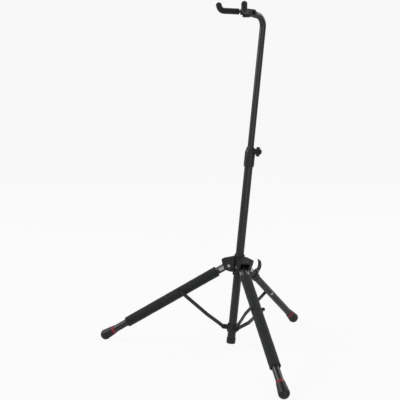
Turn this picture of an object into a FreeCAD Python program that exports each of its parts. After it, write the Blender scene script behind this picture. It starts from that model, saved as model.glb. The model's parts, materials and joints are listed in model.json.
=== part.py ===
"""Hanging guitar stand: tilted telescopic mast, sliding hub, three folding legs with braces, padded yoke.

Frame: origin on the floor under the middle of the footprint, +Z up, the front of the stand towards -Y.
"""
import FreeCAD, Part
import Sketcher
import math
import os
import re

doc = FreeCAD.newDocument("guitar_stand")
V = FreeCAD.Vector
X_AXIS = V(1, 0, 0)
Y_AXIS = V(0, 1, 0)
Z_AXIS = V(0, 0, 1)

# Driving dimensions: millimetres and degrees.
SIZES = [
    # stance
    ("mast_tilt", 8.44),             # the mast leans back by this much
    ("hub_height", 249.3),           # floor to the hub centre, on the mast's axis
    ("leg_spacing", 120),            # angle between legs, seen along the mast
    ("floor_flat", 0.5),             # how much of each foot is flattened by the floor
    # clearances
    ("fixed_fit", 0.05),             # radial gap of parts that are fixed to each other
    ("running_fit", 0.06),           # radial gap of a shaft in its hole
    ("side_gap", 0.35),              # gap beside a part that swings
    ("soft_gap", 0.3),               # gap round a soft part
    # mast tubes
    ("lower_radius", 12.5),
    ("lower_wall", 1.4),
    ("lower_below", 234),            # hub centre to the tube's lower end
    ("lower_above", 334),            # hub centre to the tube's upper end
    ("upper_radius", 9.5),
    ("upper_wall", 1.2),
    ("upper_inserted", 130),         # how far the upper tube reaches into the lower one
    ("neck_height", 719.3),          # hub centre to the start of the neck bend
    ("neck_bend", 30),               # bend radius on the tube's axis
    ("neck_reach", 44),              # straight run after the bend
    ("sight_hole_radius", 1.8),
    ("sight_hole_low", 363.8),
    ("sight_hole_high", 370.8),
    ("sight_hole_turn", -20),
    # bottom cap of the mast
    ("cap_radius", 13.7),
    ("cap_length", 18),
    ("cap_floor", 3.5),
    ("cap_round", 3),
    # height clutch
    ("clutch_low", 302),
    ("clutch_high", 363),
    ("clutch_radius", 15.6),
    ("clutch_chamfer", 3),
    ("clutch_top_radius", 11.4),
    ("clutch_taper", 17),
    ("boss_height", 350.5),
    ("boss_radius", 8.5),
    ("boss_length", 18.5),
    ("knob_turn", 25),               # from +X towards +Y
    ("stud_radius", 3),
    ("insert_radius", 4.6),
    ("insert_length", 6),
    ("shoe_thick", 2.2),
    ("shoe_radius", 4.2),
    # knob
    ("knob_gap", 0.6),
    ("knob_core_radius", 10.4),
    ("knob_lobe_radius", 4.1),
    ("knob_lobe_circle", 10.2),
    ("knob_lobes", 6),
    ("knob_thick", 9.5),
    ("knob_nose_radius", 6.8),
    ("knob_nose", 5.4),
    # neck hardware
    ("glide_length", 24),
    ("plug_flange", 2),
    ("plug_depth", 14),
    # hub
    ("hub_radius", 16),
    ("hub_low", 27),
    ("hub_high", 38),
    ("hub_bush_radius", 14.2),
    ("pivot_radius", 27),            # mast axis to a leg hinge, and to a brace rivet at the collar
    ("pivot_drop", 3.4),             # leg axis above its hinge pin
    ("cheek_thick", 3.4),
    ("arm_reach", 52),
    ("arm_nose", 18),
    ("arm_root", 31),
    ("arm_under", 17),
    ("web_thick", 4),
    ("pin_radius", 3),
    ("pin_head_radius", 4.6),
    ("pin_head", 2.2),
    # legs
    ("leg_radius", 11),
    ("leg_wall", 1.2),
    ("leg_start", 5),                # hinge pin to the start of the tube
    ("front_angle", 53.85),          # front leg axis from the mast's axis
    ("rear_angle", 57.19),
    ("strap_thick", 1.8),
    ("strap_width", 10),
    ("strap_length", 34),
    ("plug_eye_radius", 9.6),
    ("strap_rivet_at", 27),
    # linkage
    ("link_length", 172),            # hinge pin to brace rivet, and the brace between its rivets
    ("link_angle", 56.75),           # both, from the mast's axis
    ("rivet_radius", 2.5),
    ("rivet_head_radius", 4.2),
    ("rivet_head", 1.8),
    ("spacer_radius", 4.5),
    # braces
    ("brace_width", 10.5),
    ("brace_thick", 3.5),
    ("brace_flat", 112),             # straight run beside the leg, from its rivet
    ("brace_joggle", 44),
    # collar
    ("collar_radius", 15.8),
    ("collar_height", 24),
    ("tongue_thick", 6),
    ("tongue_radius", 7),
    # foam
    ("foam_radius", 16),
    ("foam_start", 44),
    ("foam_end", 373),
    # feet
    ("foot_radius", 16),
    ("foot_length", 28),             # mouth of the boot to the centre of its rounded end
    ("foot_mouth_radius", 13.2),
    ("foot_wall", 5),
    ("ring_length", 9),
    ("ring_start_radius", 11.9),
    # yoke
    ("bolt_back", 63.6),              # mast axis to the yoke bolt
    ("bolt_rise", 2.5),              # bolt above the neck's axis
    ("bolt_radius", 3),
    ("bolt_head_radius", 5),
    ("bolt_head", 3.2),
    ("washer_thick", 1),
    ("yoke_droop", 6.3),             # the yoke hangs forward by this much from the neck's axis
    ("ear_radius", 8.5),
    ("ear_thick", 3.6),
    ("ear_gap", 0.45),
    ("block_start", 14.8),           # bolt to the solid front block
    ("block_length", 18),
    ("chin_length", 12),             # lip under the block that stops it on the neck's end
    ("chin_depth", 6.5),
    ("rod_radius", 4),
    ("rod_spread", 34.7),
    ("rod_length", 66),
    ("rod_rise", 0.1),               # rod axis above the bolt
    ("tip_bend", 15),
    ("tip_rise", 5.4),
    ("tip_lean", 20),
    ("pad_radius", 8.7),
    ("pad_start", 13),
    # rear leg latch
    ("saddle_at", 67),
    ("saddle_length", 20),
    ("saddle_wall", 2.5),
    ("lever_thick", 7),
    ("lever_pin_rise", 8),
    ("lever_pin_radius", 2),
]

sheet = doc.addObject("Spreadsheet::Sheet", "Sizes")
for row, (alias, number) in enumerate(SIZES, start=1):
    sheet.set("A%d" % row, alias)
    sheet.set("B%d" % row, str(number))
    sheet.setAlias("B%d" % row, alias)
doc.recompute()
ALIASES = set(alias for alias, number in SIZES)


def val(alias):
    """The number that the sheet holds under this alias."""
    return float(sheet.get(alias))


def sheet_terms(text):
    """An expression with each alias written as a reference to the sheet."""
    return re.sub(r"[a-z_]+", lambda m: "Sizes." + m.group() if m.group() in ALIASES else m.group(), text)


def bind(thing, prop, text):
    thing.setExpression(prop, sheet_terms(text))


def sind(angle):
    return math.sin(math.radians(angle))


def cosd(angle):
    return math.cos(math.radians(angle))


def placed(at=V(0, 0, 0), axis=Z_AXIS, angle=0.0):
    return FreeCAD.Placement(at, FreeCAD.Rotation(axis, angle))


# ---------------------------------------------------------------- frames

LEGS = {"rear": 0.0, "left": val("leg_spacing"), "right": -val("leg_spacing")}


def leg_angle(name):
    return val("rear_angle") if name == "rear" else val("front_angle")


def arm_frame(mast, name):
    """Hub centre, +Z up the mast, +Y out along the leg's side of the hub."""
    return mast.multiply(placed(angle=LEGS[name]))


def leg_frame(mast, name):
    """Hinge pin centre, +Z down the leg, +Y towards the mast side, +X along the pin."""
    hinge = placed(V(0, val("pivot_radius"), 0), X_AXIS, 180 + leg_angle(name))
    return arm_frame(mast, name).multiply(hinge)


def brace_frame(mast, name):
    """Collar rivet centre, +Z along the brace to the leg, +X along the rivet."""
    collar = placed(V(0, val("pivot_radius"), -collar_drop()), X_AXIS, -val("link_angle"))
    return arm_frame(mast, name).multiply(collar)


def collar_drop():
    """Hub centre to collar rivets: the base of the isosceles linkage."""
    return 2 * val("link_length") * cosd(val("link_angle"))


def foot_centre(mast, name):
    """Distance down the leg to the centre of the foot's rounding, for a foot that meets the floor."""
    frame = leg_frame(mast, name)
    top = frame.multVec(V(0, -val("pivot_drop"), 0))
    run = frame.Rotation.multVec(Z_AXIS)
    wanted = val("foot_radius") - val("floor_flat")
    return (wanted - top.z) / run.z


def foot_reach(mast, name, sign):
    """Furthest point of a foot along +Y or -Y."""
    frame = leg_frame(mast, name)
    centre = frame.multVec(V(0, -val("pivot_drop"), foot_centre(mast, name)))
    return centre.y + sign * val("foot_radius")


def mast_frame():
    """Hub centre, +Z up the leaning mast, +Y to the rear: set so that the footprint is centred."""
    leaning = placed(V(0, 0, val("hub_height")), X_AXIS, -val("mast_tilt"))
    middle = (foot_reach(leaning, "rear", 1) + foot_reach(leaning, "left", -1)) / 2
    return placed(V(0, -middle, 0)).multiply(leaning)


MAST = mast_frame()
NECK = MAST.multiply(placed(V(0, -val("neck_bend"), val("neck_height") + val("neck_bend")), X_AXIS, 90))
YOKE_BOLT = V(0, -val("bolt_back"), val("neck_height") + val("neck_bend") + val("bolt_rise"))
YOKE = MAST.multiply(placed(YOKE_BOLT, X_AXIS, val("yoke_droop")))
KNOB = MAST.multiply(placed(V(0, 0, val("boss_height")), Z_AXIS, val("knob_turn"))).multiply(
    placed(axis=Y_AXIS, angle=90))


# ---------------------------------------------------------------- solids

pieces = {}


def piece(label, solid, frame=placed()):
    """Finish one sub-part: its label names its file, and its placement puts it in the assembly."""
    solid.Label = label
    solid.Placement = frame.multiply(solid.Placement)
    pieces[label] = solid
    return solid


def cylinder(name, radius, length, at=V(0, 0, 0), axis=Z_AXIS, angle=0.0):
    solid = doc.addObject("Part::Cylinder", name)
    bind(solid, "Radius", radius)
    bind(solid, "Height", length)
    solid.Placement = placed(at, axis, angle)
    return solid


def cross_pin(name, radius, half_length, at=V(0, 0, 0)):
    """A cylinder along X, centred on a point."""
    solid = cylinder(name, radius, "2 * (%s)" % half_length, at, Y_AXIS, 90)
    doc.recompute()
    solid.Placement = placed(at - V(solid.Height.Value / 2, 0, 0), Y_AXIS, 90)
    return solid


def box(name, sizes, corner):
    solid = doc.addObject("Part::Box", name)
    for prop, text in zip(("Length", "Width", "Height"), sizes):
        bind(solid, prop, text)
    solid.Placement = placed(corner)
    return solid


def cone(name, radius_low, radius_high, length, at=V(0, 0, 0)):
    solid = doc.addObject("Part::Cone", name)
    bind(solid, "Radius1", radius_low)
    bind(solid, "Radius2", radius_high)
    bind(solid, "Height", length)
    solid.Placement = placed(at)
    return solid


def cut(name, base, tool):
    solid = doc.addObject("Part::Cut", name)
    solid.Base = base
    solid.Tool = tool
    return solid


def join(name, parts):
    solid = doc.addObject("Part::MultiFuse", name)
    solid.Shapes = parts
    solid.Refine = True
    return solid


def group(name, parts):
    solids = doc.addObject("Part::Compound", name)
    solids.Links = parts
    return solids


def ring(name, outer, inner, length, at=V(0, 0, 0), axis=Z_AXIS, angle=0.0):
    body = cylinder(name + "_outer", outer, length, at, axis, angle)
    bore = cylinder(name + "_bore", inner, length, at, axis, angle)
    return cut(name + "_ring", body, bore)


def sketch_in(body, name, plane, points):
    """A closed outline of straight sides, each corner held by two sheet expressions."""
    sketch = body.newObject("Sketcher::SketchObject", name)
    origin = [f for f in body.Origin.OriginFeatures if f.Role == plane][0]
    sketch.AttachmentSupport = (origin, [""])
    sketch.MapMode = "FlatFace"
    corners = [V(number_of(across), number_of(along), 0) for across, along in points]
    for start, corner in enumerate(corners):
        sketch.addGeometry(Part.LineSegment(corner, corners[(start + 1) % len(corners)]), False)
    for side in range(len(corners)):
        after = (side + 1) % len(corners)
        sketch.addConstraint(Sketcher.Constraint("Coincident", side, 2, after, 1))
    for side, (across, along) in enumerate(points):
        hold(sketch, "DistanceX", side, across, corners[side].x, -2)
        hold(sketch, "DistanceY", side, along, corners[side].y, -1)
    return sketch


def hold(sketch, kind, side, text, number, axis):
    """Tie one coordinate of a corner to an expression, or to the axis where it is zero."""
    if abs(number) < 1e-9:
        sketch.addConstraint(Sketcher.Constraint("PointOnObject", side, 1, axis))
        return
    index = sketch.addConstraint(Sketcher.Constraint(kind, -1, 1, side, 1, number))
    sketch.setExpression("Constraints[%d]" % index, sheet_terms(text))


def number_of(text):
    """The present value of a sheet expression."""
    probe.setExpression("Height", sheet_terms("1000 + (%s)" % text))
    probe.recompute()
    return probe.Height.Value - 1000


probe = doc.addObject("Part::Box", "Probe")


def turned(label, points):
    """A body of revolution about its own Z, from an outline in radius and height."""
    body = doc.addObject("PartDesign::Body", label + "_body")
    sketch = sketch_in(body, label + "_profile", "XZ_Plane", points)
    feature = body.newObject("PartDesign::Revolution", label + "_turn")
    feature.Profile = sketch
    feature.ReferenceAxis = (sketch, ["V_Axis"])
    feature.Angle = 360
    doc.recompute()
    return body


def plate(label, points, thick, plane="YZ_Plane"):
    """A flat plate pushed out both ways from its plane."""
    body = doc.addObject("PartDesign::Body", label + "_body")
    sketch = sketch_in(body, label + "_profile", plane, points)
    feature = body.newObject("PartDesign::Pad", label + "_pad")
    feature.Profile = sketch
    bind(feature, "Length", thick)
    feature.Midplane = True
    doc.recompute()
    return body


def rounded_edges(body, name, radius, test):
    """Fillet the edges of a body's tip that the test picks."""
    tip = body.Tip
    picked = ["Edge%d" % (i + 1) for i, edge in enumerate(tip.Shape.Edges) if test(edge)]
    feature = body.newObject("PartDesign::Fillet", name)
    feature.Base = (tip, picked)
    bind(feature, "Radius", radius)
    doc.recompute()


def rivet(name, half_grip, at=V(0, 0, 0), radius="rivet_radius", head="rivet_head_radius", proud="rivet_head"):
    """A shank along X with a low head at each end."""
    shank = cross_pin(name + "_shank", radius, half_grip, at)
    grip = shank.Height.Value / 2
    right = cylinder(name + "_head_a", head, proud, at + V(grip, 0, 0), Y_AXIS, 90)
    left = cylinder(name + "_head_b", head, proud, at - V(grip, 0, 0), Y_AXIS, -90)
    return join(name + "_rivet", [shank, right, left])


# ---------------------------------------------------------------- mast

def lower_tube():
    tube = ring("lower_tube", "lower_radius", "lower_radius - lower_wall", "lower_below + lower_above",
                V(0, 0, -val("lower_below")))
    piece("lower_tube", tube, MAST)


def lower_end_cap():
    cap = turned("lower_end_cap", [
        ("0", "-lower_below - cap_floor"),
        ("cap_radius", "-lower_below - cap_floor"),
        ("cap_radius", "-lower_below - cap_floor + cap_length"),
        ("lower_radius + fixed_fit", "-lower_below - cap_floor + cap_length"),
        ("lower_radius + fixed_fit", "-lower_below"),
        ("0", "-lower_below"),
    ])
    low = -val("lower_below") - val("cap_floor")
    rounded_edges(cap, "lower_end_cap_round", "cap_round",
                  lambda e: abs(e.BoundBox.ZMax - low) < 0.01 and e.BoundBox.ZLength < 0.01)
    piece("lower_end_cap", cap, MAST)


def brace_collar():
    half = "collar_height / 2"
    sleeve = cylinder("collar_sleeve", "collar_radius", "collar_height",
                      V(0, 0, -collar_drop() - val("collar_height") / 2))
    parts = [sleeve]
    for name in LEGS:
        tongue = box("collar_tongue_" + name, ("tongue_thick", "pivot_radius", "2 * tongue_radius"),
                     V(-val("tongue_thick") / 2, 0, -collar_drop() - val("tongue_radius")))
        tip = cross_pin("collar_tip_" + name, "tongue_radius", "tongue_thick / 2",
                        V(0, val("pivot_radius"), -collar_drop()))
        arm = join("collar_arm_" + name, [tongue, tip])
        arm.Placement = placed(angle=LEGS[name])
        parts.append(arm)
    body = join("collar_body", parts)
    bore = cylinder("collar_bore", "lower_radius + fixed_fit", "collar_height + 2",
                    V(0, 0, -collar_drop() - val("collar_height") / 2 - 1))
    holes = [bore]
    for name in LEGS:
        hole = cross_pin("collar_hole_" + name, "rivet_radius + fixed_fit", "tongue_thick",
                         V(0, val("pivot_radius"), -collar_drop()))
        turn = group("collar_hole_turned_" + name, [hole])
        turn.Placement = placed(angle=LEGS[name])
        holes.append(turn)
    screw_hole = cylinder("collar_screw_hole", "rivet_radius", "collar_radius + 2",
                          V(0, 0, -collar_drop()), X_AXIS, 90)
    screw_hole.Placement = placed(V(0, 0, -collar_drop()), X_AXIS, 90)
    holes.append(screw_hole)
    piece("brace_collar", cut("brace_collar_cut", body, join("collar_holes", holes)), MAST)


def collar_screw():
    """Grub screw that holds the collar on the tube, in front."""
    screw = cylinder("collar_screw_shank", "rivet_radius - fixed_fit",
                     "collar_radius - lower_radius - fixed_fit",
                     V(0, -val("lower_radius") - val("fixed_fit"), -collar_drop()), X_AXIS, 90)
    piece("collar_screw", screw, MAST)


def brace_side(name):
    """Sideways distance from the leg's plane to the middle of its brace, beside the leg."""
    around = val("leg_radius") if name == "rear" else val("foam_radius")
    return around + 2 * val("side_gap") + val("brace_thick") / 2


def brace_inset():
    """Sideways distance to the middle of the brace where it lies on its collar tongue."""
    return val("tongue_thick") / 2 + val("side_gap") + val("brace_thick") / 2


def lower_brace_rivets():
    rivets = []
    for name in LEGS:
        left = brace_inset() + val("brace_thick") / 2 + val("side_gap")
        right = val("tongue_thick") / 2 + val("fixed_fit")
        at = V((right - left) / 2, val("pivot_radius"), -collar_drop())
        pin = rivet("lower_rivet_" + name,
                    "(tongue_thick + fixed_fit + brace_thick + 2 * side_gap) / 2", at)
        pin.Placement = placed(angle=LEGS[name])
        rivets.append(pin)
    piece("lower_brace_rivets", group("lower_brace_rivets_set", rivets), MAST)


def clutch_housing():
    shell = turned("clutch_shell", [
        ("lower_radius + fixed_fit", "clutch_low"),
        ("clutch_radius - clutch_chamfer", "clutch_low"),
        ("clutch_radius", "clutch_low + clutch_chamfer"),
        ("clutch_radius", "clutch_high - clutch_taper"),
        ("clutch_top_radius", "clutch_high"),
        ("upper_radius + running_fit", "clutch_high"),
        ("upper_radius + running_fit", "lower_above"),
        ("lower_radius + fixed_fit", "lower_above"),
    ])
    boss = cylinder("clutch_boss", "boss_radius", "boss_length", V(0, 0, 0), Y_AXIS, 90)
    turned_boss = group("clutch_boss_turned", [boss])
    turned_boss.Placement = placed(V(0, 0, val("boss_height")), Z_AXIS, val("knob_turn"))
    body = join("clutch_body", [shell, turned_boss])
    inner = cylinder("clutch_inner", "upper_radius + running_fit", "clutch_high - lower_above",
                     V(0, 0, val("lower_above")))
    shoe_bore = cylinder("clutch_shoe_bore", "shoe_radius + fixed_fit",
                         "upper_radius + shoe_thick + 0.5", V(0, 0, 0), Y_AXIS, 90)
    insert_bore = cylinder("clutch_insert_bore", "insert_radius + fixed_fit", "insert_length",
                           V(val("boss_length") - val("insert_length"), 0, 0), Y_AXIS, 90)
    stud_bore = cylinder("clutch_stud_bore", "stud_radius + running_fit", "boss_length",
                         V(0, 0, 0), Y_AXIS, 90)
    bores = join("clutch_cross_bores", [shoe_bore, insert_bore, stud_bore])
    bores.Placement = placed(V(0, 0, val("boss_height")), Z_AXIS, val("knob_turn"))
    screw_bore = cylinder("clutch_screw_bore", "rivet_radius", "clutch_radius + 1",
                          V(0, 0, (val("clutch_low") + val("lower_above")) / 2), X_AXIS, 90)
    tools = join("clutch_tools", [inner, bores, screw_bore])
    piece("clutch_housing", cut("clutch_housing_cut", body, tools), MAST)


def clutch_screw():
    """Countersunk screw that holds the housing on the lower tube, in front."""
    at = V(0, -val("lower_radius") - val("fixed_fit"), (val("clutch_low") + val("lower_above")) / 2)
    screw = cylinder("clutch_screw_shank", "rivet_radius - fixed_fit",
                     "clutch_radius - lower_radius - fixed_fit + 0.4", at, X_AXIS, 90)
    piece("clutch_screw", screw, MAST)


def clutch_bush():
    """Liner in the mouth of the lower tube, which the upper tube slides in."""
    liner = ring("clutch_bush", "lower_radius - lower_wall - fixed_fit", "upper_radius + running_fit",
                 "glide_length", V(0, 0, val("lower_above") - val("glide_length")))
    piece("clutch_bush", liner, MAST)


def clutch_insert():
    nut = ring("clutch_insert", "insert_radius", "stud_radius + running_fit", "insert_length",
               V(0, 0, val("boss_length") - val("insert_length")))
    piece("clutch_insert", nut, KNOB)


def clamp_shoe():
    """Pad that the stud presses on the upper tube: its face is hollowed to the tube."""
    pad = cylinder("clamp_shoe_pad", "shoe_radius", "shoe_thick + 1",
                   V(0, 0, val("upper_radius") + val("running_fit") - 1))
    tube = cylinder("clamp_shoe_hollow", "upper_radius + running_fit", "4 * shoe_radius",
                    V(2 * val("shoe_radius"), 0, 0), Y_AXIS, -90)
    piece("clamp_shoe", cut("clamp_shoe_cut", pad, tube), KNOB)


def height_knob():
    core = doc.addObject("PartDesign::Body", "height_knob_body")
    disc = core.newObject("Sketcher::SketchObject", "knob_disc")
    disc.AttachmentSupport = ([f for f in core.Origin.OriginFeatures if f.Role == "XY_Plane"][0], [""])
    disc.MapMode = "FlatFace"
    disc.addGeometry(Part.Circle(V(0, 0, 0), Z_AXIS, val("knob_core_radius")), False)
    disc.addConstraint(Sketcher.Constraint("Coincident", 0, 3, -1, 1))
    index = disc.addConstraint(Sketcher.Constraint("Radius", 0, val("knob_core_radius")))
    disc.setExpression("Constraints[%d]" % index, "Sizes.knob_core_radius")
    grip = core.newObject("PartDesign::Pad", "knob_grip")
    grip.Profile = disc
    bind(grip, "Length", "knob_thick")
    lobe_sketch = core.newObject("Sketcher::SketchObject", "knob_lobe_outline")
    lobe_sketch.AttachmentSupport = ([f for f in core.Origin.OriginFeatures if f.Role == "XY_Plane"][0], [""])
    lobe_sketch.MapMode = "FlatFace"
    lobe_sketch.addGeometry(Part.Circle(V(val("knob_lobe_circle"), 0, 0), Z_AXIS, val("knob_lobe_radius")), False)
    lobe_sketch.addConstraint(Sketcher.Constraint("PointOnObject", 0, 3, -1))
    index = lobe_sketch.addConstraint(Sketcher.Constraint("DistanceX", -1, 1, 0, 3, val("knob_lobe_circle")))
    lobe_sketch.setExpression("Constraints[%d]" % index, "Sizes.knob_lobe_circle")
    index = lobe_sketch.addConstraint(Sketcher.Constraint("Radius", 0, val("knob_lobe_radius")))
    lobe_sketch.setExpression("Constraints[%d]" % index, "Sizes.knob_lobe_radius")
    lobe = core.newObject("PartDesign::Pad", "knob_lobe")
    lobe.Profile = lobe_sketch
    bind(lobe, "Length", "knob_thick")
    doc.recompute()
    lobes = core.newObject("PartDesign::PolarPattern", "knob_lobe_pattern")
    lobes.Originals = [lobe]
    lobes.Axis = (disc, ["N_Axis"])
    lobes.Angle = 360
    bind(lobes, "Occurrences", "knob_lobes")
    core.Tip = lobes
    doc.recompute()
    core.Placement = placed(V(0, 0, val("boss_length") + val("knob_gap")))
    nose = cylinder("knob_nose", "knob_nose_radius", "knob_nose",
                    V(0, 0, val("boss_length") + val("knob_gap") + val("knob_thick")))
    bore = cylinder("knob_bore", "stud_radius + fixed_fit", "knob_thick",
                    V(0, 0, val("boss_length") + val("knob_gap")))
    knob = cut("height_knob_cut", join("height_knob_join", [core, nose]), bore)
    piece("height_knob", knob, KNOB)


def knob_stud():
    start = val("upper_radius") + val("running_fit") + val("shoe_thick") + val("fixed_fit")
    stud = cylinder("knob_stud_rod", "stud_radius",
                    "boss_length + knob_gap + knob_thick - upper_radius - running_fit - shoe_thick - 2 * fixed_fit",
                    V(0, 0, start))
    piece("knob_stud", stud, KNOB)


# ---------------------------------------------------------------- neck

def bent_tube(name, radius):
    """The upper tube's outline: a long straight run, a quarter bend to the front and a short straight run."""
    low = val("lower_above") - val("upper_inserted")
    post = cylinder(name + "_post", radius, "neck_height - lower_above + upper_inserted", V(0, 0, low))
    bend = doc.addObject("Part::Torus", name + "_bend")
    bind(bend, "Radius1", "neck_bend")
    bind(bend, "Radius2", radius)
    bend.Angle3 = 90
    bend.Placement = placed(V(0, -val("neck_bend"), val("neck_height")), Z_AXIS, 90).multiply(
        placed(axis=X_AXIS, angle=90))
    top = cylinder(name + "_top", radius, "neck_reach",
                   V(0, -val("neck_bend"), val("neck_height") + val("neck_bend")), X_AXIS, 90)
    return join(name + "_run", [post, bend, top])


def upper_tube():
    outside = bent_tube("upper_outside", "upper_radius")
    inside = bent_tube("upper_inside", "upper_radius - upper_wall")
    bolt_hole = cross_pin("upper_bolt_hole", "bolt_radius + fixed_fit", "upper_radius + 2",
                          YOKE_BOLT)
    tools = [inside, bolt_hole]
    for where in ("sight_hole_low", "sight_hole_high"):
        hole = cylinder(where + "_drill", "sight_hole_radius", "upper_radius + 2", V(0, 0, 0), Y_AXIS, 90)
        turn = group(where + "_turned", [hole])
        turn.Placement = placed(V(0, 0, val(where)), Z_AXIS, val("sight_hole_turn"))
        tools.append(turn)
    piece("upper_tube", cut("upper_tube_cut", outside, join("upper_tools", tools)), MAST)


def upper_glide():
    """Plastic foot on the upper tube's lower end, which centres it in the lower tube."""
    low = "lower_above - upper_inserted"
    glide = turned("upper_glide", [
        ("0", low + " - 3"),
        ("lower_radius - lower_wall - running_fit", low + " - 3"),
        ("lower_radius - lower_wall - running_fit", low + " - fixed_fit"),
        ("upper_radius - upper_wall - fixed_fit", low + " - fixed_fit"),
        ("upper_radius - upper_wall - fixed_fit", low + " + plug_depth"),
        ("0", low + " + plug_depth"),
    ])
    piece("upper_glide", glide, MAST)


def neck_plug():
    """Cap in the open end of the neck, under the yoke."""
    plug = turned("neck_plug", [
        ("0", "neck_reach - plug_depth / 2"),
        ("upper_radius - upper_wall - fixed_fit", "neck_reach - plug_depth / 2"),
        ("upper_radius - upper_wall - fixed_fit", "neck_reach + fixed_fit"),
        ("upper_radius", "neck_reach + fixed_fit"),
        ("upper_radius", "neck_reach + plug_flange"),
        ("0", "neck_reach + plug_flange"),
    ])
    piece("neck_plug", plug, NECK)


def yoke_bolt():
    """Bolt, nut and washers on the yoke's cross axis, fixed in the neck."""
    side = "upper_radius + ear_gap + ear_thick"
    grip = val("upper_radius") + val("ear_gap") + val("ear_thick")
    gap = val("side_gap") / 2
    shank = cross_pin("yoke_bolt_shank", "bolt_radius", side + " + side_gap + washer_thick + bolt_head")
    head = cylinder("yoke_bolt_head", "bolt_head_radius", "bolt_head",
                    V(grip + gap + val("washer_thick") + 0.02, 0, 0), Y_AXIS, 90)
    piece("yoke_bolt", join("yoke_bolt_join", [shank, head]), YOKE)
    washers = []
    for sign in (1, -1):
        at = V(sign * (grip + gap), 0, 0)
        washers.append(ring("yoke_washer_%d" % (sign + 1), "bolt_head_radius + 1", "bolt_radius + fixed_fit",
                            "washer_thick", at, Y_AXIS, 90 * sign))
    piece("yoke_washers", group("yoke_washers_set", washers), YOKE)
    nut = doc.addObject("Part::Prism", "yoke_nut_hex")
    nut.Polygon = 6
    bind(nut, "Circumradius", "bolt_head_radius + 0.4")
    bind(nut, "Height", "bolt_head")
    nut.Placement = placed(V(-grip - gap - val("washer_thick") - 0.02, 0, 0), Y_AXIS, -90)
    hole = cross_pin("yoke_nut_hole", "bolt_radius + fixed_fit", side + " + 20")
    piece("yoke_nut", cut("yoke_nut_cut", nut, hole), YOKE)


# ---------------------------------------------------------------- yoke

def yoke_block():
    inner = "upper_radius + ear_gap"
    ears = []
    for sign in (1, -1):
        middle = sign * (val("upper_radius") + val("ear_gap") + val("ear_thick") / 2)
        round_end = cross_pin("yoke_ear_round_%d" % (sign + 1), "ear_radius", "ear_thick / 2", V(middle, 0, 0))
        side = box("yoke_ear_side_%d" % (sign + 1), ("ear_thick", "block_start + 1", "2 * ear_radius"),
                   V(middle - val("ear_thick") / 2, -val("block_start") - 1, -val("ear_radius")))
        ears += [round_end, side]
    width = "2 * (upper_radius + ear_gap + ear_thick)"
    half = val("upper_radius") + val("ear_gap") + val("ear_thick")
    front = box("yoke_front", (width, "block_length", "2 * ear_radius"),
                V(-half, -val("block_start") - val("block_length"), -val("ear_radius")))
    chin = box("yoke_chin", ("2 * upper_radius", "chin_length", "chin_depth + 1"),
               V(-val("upper_radius"), -val("block_start") - val("chin_length"),
                 -val("ear_radius") - val("chin_depth")))
    solid = join("yoke_block_join", ears + [front, chin])
    tools = [cross_pin("yoke_block_hole", "bolt_radius + running_fit", inner + " + ear_thick + 2")]
    for sign in (1, -1):
        hole = cylinder("yoke_rod_hole_%d" % (sign + 1), "rod_radius + fixed_fit", "rod_length", rod_root(), X_AXIS, 90)
        hole.Placement = placed(rod_root()).multiply(placed(angle=sign * val("rod_spread"))).multiply(
            placed(V(0, 4, 0), X_AXIS, 90))
        tools.append(hole)
    piece("yoke_block", cut("yoke_block_cut", solid, join("yoke_block_tools", tools)), YOKE)


def rod_root():
    """Where the two arms of the yoke meet, inside the block."""
    return V(0, -val("block_start") - 8, val("rod_rise"))


def arm_wire(start, run_cut):
    """Centre line of one arm in its own plane: out along -Y, then up and slightly outwards."""
    bend = val("tip_bend")
    length = val("rod_length")
    lean = val("tip_lean")
    sweep = 90 - lean
    corner = V(0, -length, 0)
    middle = corner + V(0, -bend * sind(sweep / 2), bend * (1 - cosd(sweep / 2)))
    bend_end = corner + V(0, -bend * sind(sweep), bend * (1 - cosd(sweep)))
    tip = bend_end + V(0, -sind(lean), cosd(lean)) * (val("tip_rise") - run_cut)
    first = Part.LineSegment(V(0, -start, 0), corner).toShape()
    arc = Part.Arc(corner, middle, bend_end).toShape()
    last = Part.LineSegment(bend_end, tip).toShape()
    return Part.Wire([first, arc, last]), tip


def swept(start, run_cut, radius):
    """A round bar along an arm's centre line."""
    wire, tip = arm_wire(start, run_cut)
    circle = Part.Wire(Part.Circle(V(0, -start, 0), Y_AXIS, radius).toShape())
    bar = wire.makePipeShell([circle], True, False)
    return bar, tip


def turned_arm(shape, sign):
    """One arm's shape, swung to its side and moved to the root of the yoke."""
    whole = shape.copy()
    whole.rotate(V(0, 0, 0), Z_AXIS, sign * val("rod_spread"))
    whole.translate(rod_root())
    return whole


def yoke_rods():
    """One bent steel rod to each side; the two are welded where they meet in the block."""
    bars = []
    for sign in (1, -1):
        bar, tip = swept(0, 0, val("rod_radius"))
        bars.append(turned_arm(bar, sign))
    rods = doc.addObject("Part::Feature", "yoke_rods_shape")
    rods.Shape = bars[0].fuse(bars[1]).removeSplitter()
    piece("yoke_rods", rods, YOKE)


def yoke_pads():
    for label, sign in (("yoke_pad_right", 1), ("yoke_pad_left", -1)):
        sleeve, tip = swept(val("pad_start") + 8, 0, val("pad_radius"))
        ball = Part.makeSphere(val("pad_radius"), tip)
        bore, bore_tip = swept(0, -0.3, val("rod_radius") + val("fixed_fit"))
        pad = doc.addObject("Part::Feature", label + "_shape")
        pad.Shape = turned_arm(sleeve.fuse(ball).removeSplitter().cut(bore), sign)
        piece(label, pad, YOKE)


# ---------------------------------------------------------------- hub

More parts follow.
